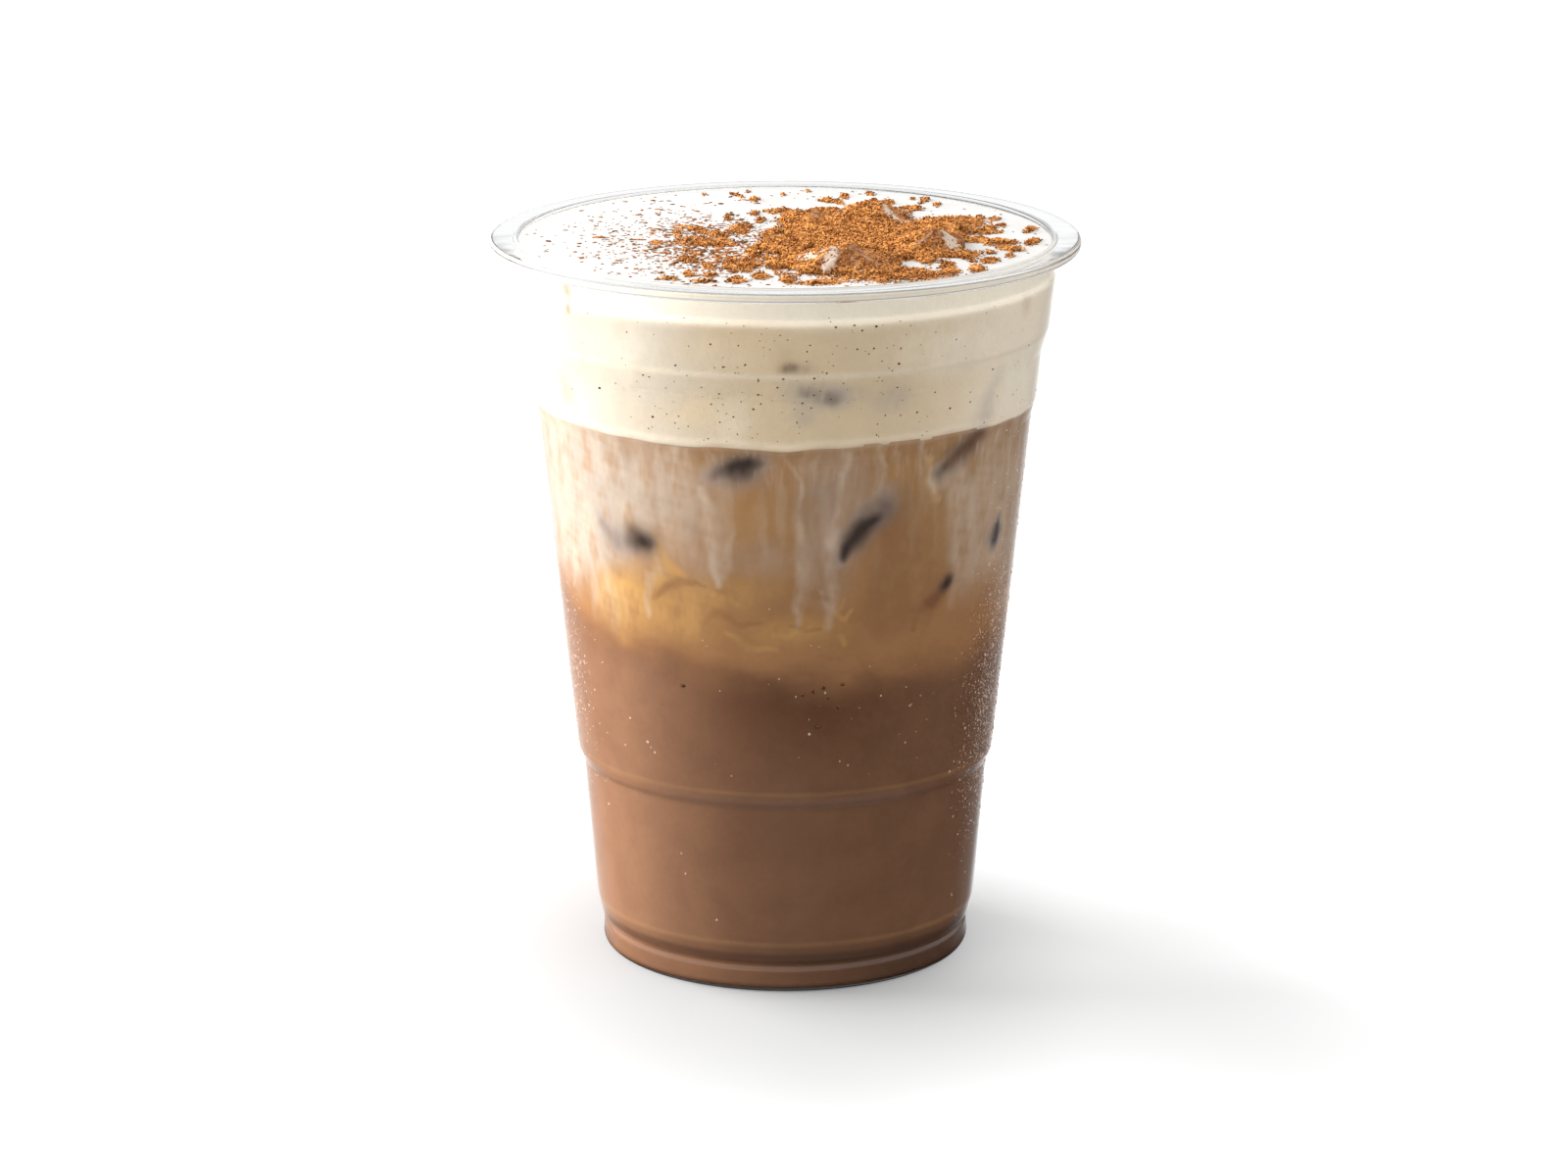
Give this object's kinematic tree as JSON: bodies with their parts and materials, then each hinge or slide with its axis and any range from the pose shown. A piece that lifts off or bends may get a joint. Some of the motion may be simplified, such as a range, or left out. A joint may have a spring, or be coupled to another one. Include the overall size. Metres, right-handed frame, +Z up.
{
  "type": "iced horchata mocha in a clear cup",
  "caption": "Iced layered drink in a clear flared plastic cup: brown mocha below, pale horchata above, a thick cream foam cap and a heap of ground cinnamon on top.",
  "frame": {"origin": "middle of the foot ring's contact plane, on the cup's axis", "axes": "+Z up along the cup's axis; +X to the right and +Y to the back, with the heap of cinnamon towards the front right"},
  "size_m": [0.098, 0.098, 0.1253],
  "materials": {
    "clear_cup": "clear thin-walled plastic, glossy",
    "mocha": "opaque milky chocolate coffee",
    "horchata": "cloudy pale coffee with milk",
    "foam": "dense cream foam, satin",
    "cinnamon": "dry ground spice, rough",
    "ice": "clear ice, wet",
    "condensation": "water droplets"
  },
  "bodies": {
    "root": {"cup": "clear_cup", "mocha_layer": "mocha", "horchata_layer": "horchata", "foam_layer": "foam", "cinnamon_heap": "cinnamon"}
  },
  "joints": []
}
